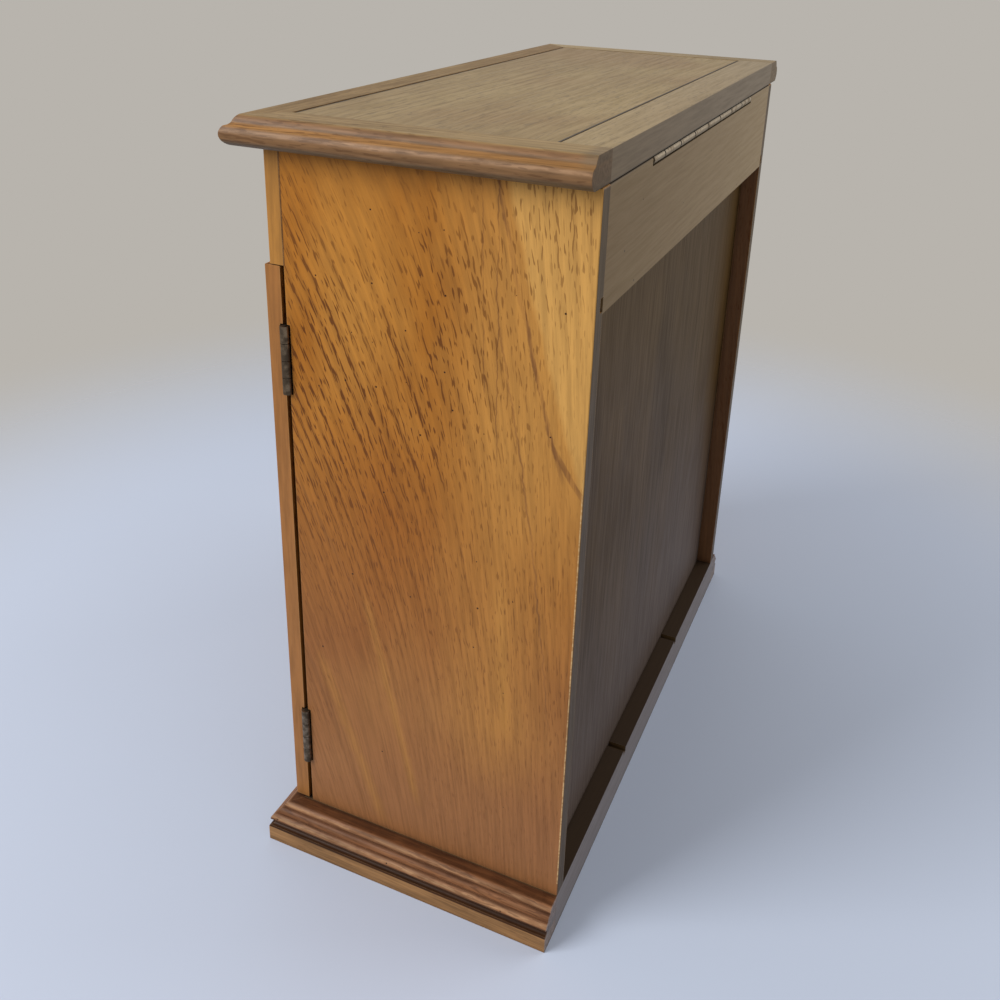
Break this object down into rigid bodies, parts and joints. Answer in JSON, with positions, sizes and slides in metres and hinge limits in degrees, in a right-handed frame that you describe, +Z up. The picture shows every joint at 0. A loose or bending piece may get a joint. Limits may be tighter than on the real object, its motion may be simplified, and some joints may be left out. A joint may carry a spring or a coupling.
{
  "type": "jewelry box with drawers",
  "caption": "Wooden jewelry box with a lift lid over a lined till, a middle column of drawers and a glazed door on each side, on a moulded base.",
  "frame": {"origin": "on the floor, at the middle of the box's footprint (knobs and hinge barrel included)", "axes": "+Z up, -Y out of the front (doors and drawers), +X to the right seen from the front"},
  "size_m": [0.3478, 0.1616, 0.3799],
  "materials": {
    "oak": "honey oak under satin lacquer",
    "oak_moulding": "red-brown stained oak, lacquered, darker in the grooves",
    "oak_lid": "brown oak under satin lacquer",
    "oak_back": "stained oak, satin",
    "back_board": "dark stained board, matt",
    "inner_wood": "stained, unpolished",
    "lining": "short-pile velvet",
    "aged_brass": "aged, dark",
    "brass": "worn brass",
    "magnet": "brown plastic case",
    "door_glass": "clear",
    "mirror": "silvered"
  },
  "bodies": {
    "case": {"back_panel": "back_board", "back_top_rail": "oak_back", "base_front_moulding": "oak_moulding", "base_left_moulding": "oak_moulding", "base_rear_rail": "oak_back", "base_right_moulding": "oak_moulding", "bay_linings": "lining", "bottom_board": "oak_back", "case_hinge_leaves": "aged_brass", "door_catches": "magnet", "door_hinge_pins": "aged_brass", "drawer_runners": "inner_wood", "front_stiles": "oak", "front_top_rail": "oak", "left_partition": "inner_wood", "left_side_panel": "oak", "lid_hinge_case_leaf": "brass", "lid_hinge_pin": "brass", "necklace_pegs": "brass", "peg_rails": "inner_wood", "right_partition": "inner_wood", "right_side_panel": "oak", "ring_roll": "lining", "till_dividers": "lining", "till_floor": "inner_wood", "till_lining": "lining"},
    "lid": {"lid_panel": "oak_lid", "lid_front_rail": "oak_lid", "lid_rear_rail": "oak_lid", "lid_left_end": "oak_lid", "lid_right_end": "oak_lid", "lid_mirror": "mirror", "lid_mirror_beading": "inner_wood", "lid_hinge_lid_leaf": "brass"},
    "left_door": {"left_door_frame": "oak", "left_door_glass": "door_glass", "left_door_beading": "inner_wood", "left_door_hinge_leaves": "aged_brass", "left_door_knob": "brass"},
    "right_door": {"right_door_frame": "oak", "right_door_glass": "door_glass", "right_door_beading": "inner_wood", "right_door_hinge_leaves": "aged_brass", "right_door_knob": "brass"},
    "drawer_1": {"drawer_1_front": "oak", "drawer_1_box": "inner_wood", "drawer_1_lining": "lining", "drawer_1_knob": "brass"},
    "drawer_2": {"drawer_2_front": "oak", "drawer_2_box": "inner_wood", "drawer_2_lining": "lining", "drawer_2_knob": "brass"},
    "drawer_3": {"drawer_3_front": "oak", "drawer_3_box": "inner_wood", "drawer_3_lining": "lining", "drawer_3_knob": "brass"},
    "drawer_4": {"drawer_4_front": "oak", "drawer_4_box": "inner_wood", "drawer_4_lining": "lining", "drawer_4_knob": "brass"}
  },
  "joints": [
    {"name": "lid_hinge", "type": "hinge", "parent": "case", "child": "lid", "pos_m": [0, 0.07895, 0.3654], "axis": [-1, 0, 0], "range_deg": [0, 105]},
    {"name": "left_door_hinge", "type": "hinge", "parent": "case", "child": "left_door", "pos_m": [-0.1605, -0.05895, 0.1699], "axis": [0, 0, -1], "range_deg": [0, 170]},
    {"name": "right_door_hinge", "type": "hinge", "parent": "case", "child": "right_door", "pos_m": [0.1605, -0.05895, 0.1699], "axis": [0, 0, 1], "range_deg": [0, 170]},
    {"name": "drawer_1_slide", "type": "slide", "parent": "case", "child": "drawer_1", "axis": [0, -1, 0], "range_m": [0, 0.095]},
    {"name": "drawer_2_slide", "type": "slide", "parent": "case", "child": "drawer_2", "axis": [0, -1, 0], "range_m": [0, 0.095]},
    {"name": "drawer_3_slide", "type": "slide", "parent": "case", "child": "drawer_3", "axis": [0, -1, 0], "range_m": [0, 0.095]},
    {"name": "drawer_4_slide", "type": "slide", "parent": "case", "child": "drawer_4", "axis": [0, -1, 0], "range_m": [0, 0.095]}
  ]
}
